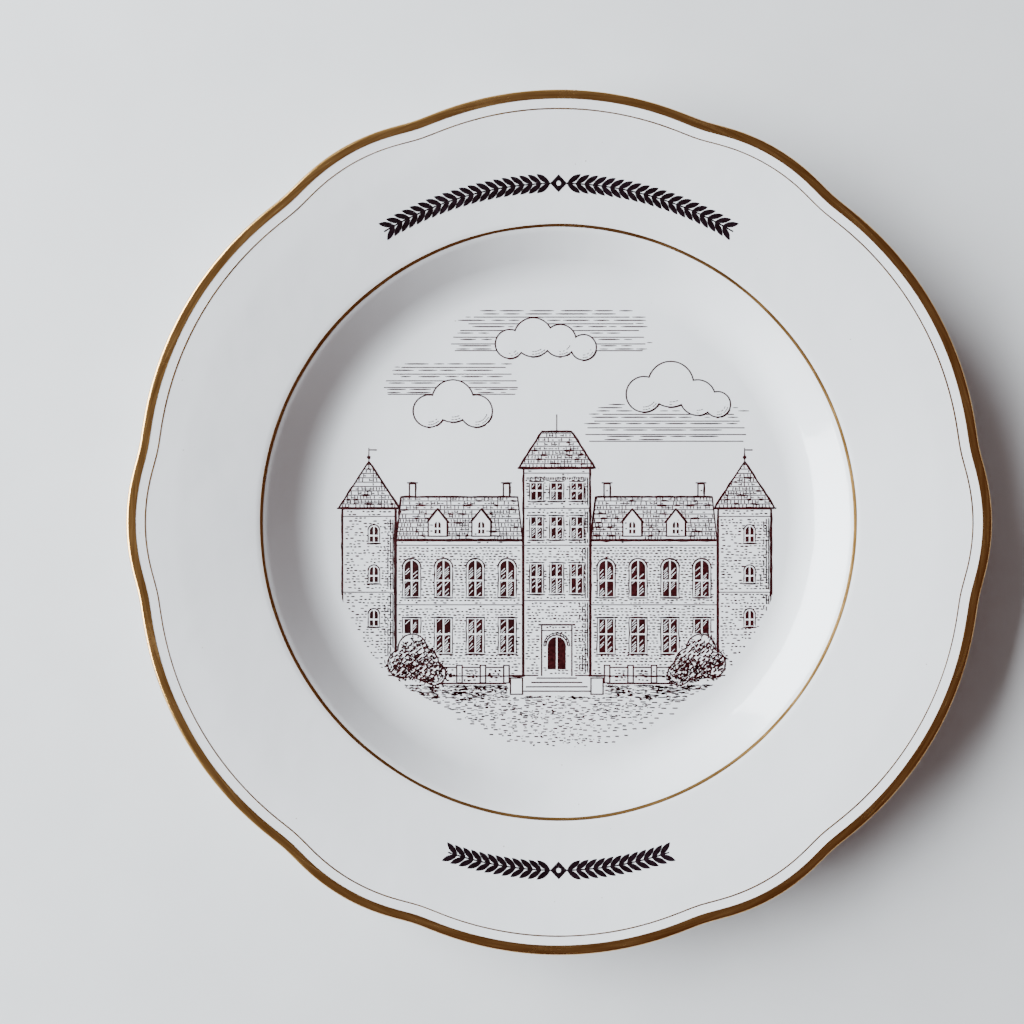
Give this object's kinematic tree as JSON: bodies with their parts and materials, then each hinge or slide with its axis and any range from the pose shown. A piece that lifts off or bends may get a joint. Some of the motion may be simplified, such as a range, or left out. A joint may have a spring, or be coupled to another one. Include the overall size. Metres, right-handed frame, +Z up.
{
  "type": "souvenir plate",
  "caption": "Glazed porcelain souvenir plate with a lobed, gilded rim, a printed view of a country house in its well and a leaf ornament above and below it.",
  "frame": {"origin": "on the plate's axis, in the plane that its foot ring rests on", "axes": "+Z up out of the well, +Y towards the top of the printed view, +X to the view's right"},
  "size_m": [0.245, 0.245, 0.0221],
  "materials": {
    "bare_porcelain": "unglazed, fine and matt",
    "gilding": "bright burnished gold lustre",
    "glaze": "clear glossy glaze over white porcelain",
    "ornament_ink": "fired-on dark aubergine enamel",
    "view_ink": "fired-on dark brown enamel"
  },
  "bodies": {
    "root": {"biscuit_body": "bare_porcelain", "gilt_hairline": "gilding", "gilt_rim_band": "gilding", "gilt_verge_line": "gilding", "glaze_coat": "glaze", "ornament_lower": "ornament_ink", "ornament_upper": "ornament_ink", "print_clouds": "view_ink", "print_east_tower": "view_ink", "print_east_wing": "view_ink", "print_forecourt": "view_ink", "print_gate_tower": "view_ink", "print_hall": "view_ink", "print_porch": "view_ink", "print_shrubs": "view_ink", "print_steps": "view_ink", "print_terrace": "view_ink", "print_west_tower": "view_ink"}
  },
  "joints": []
}
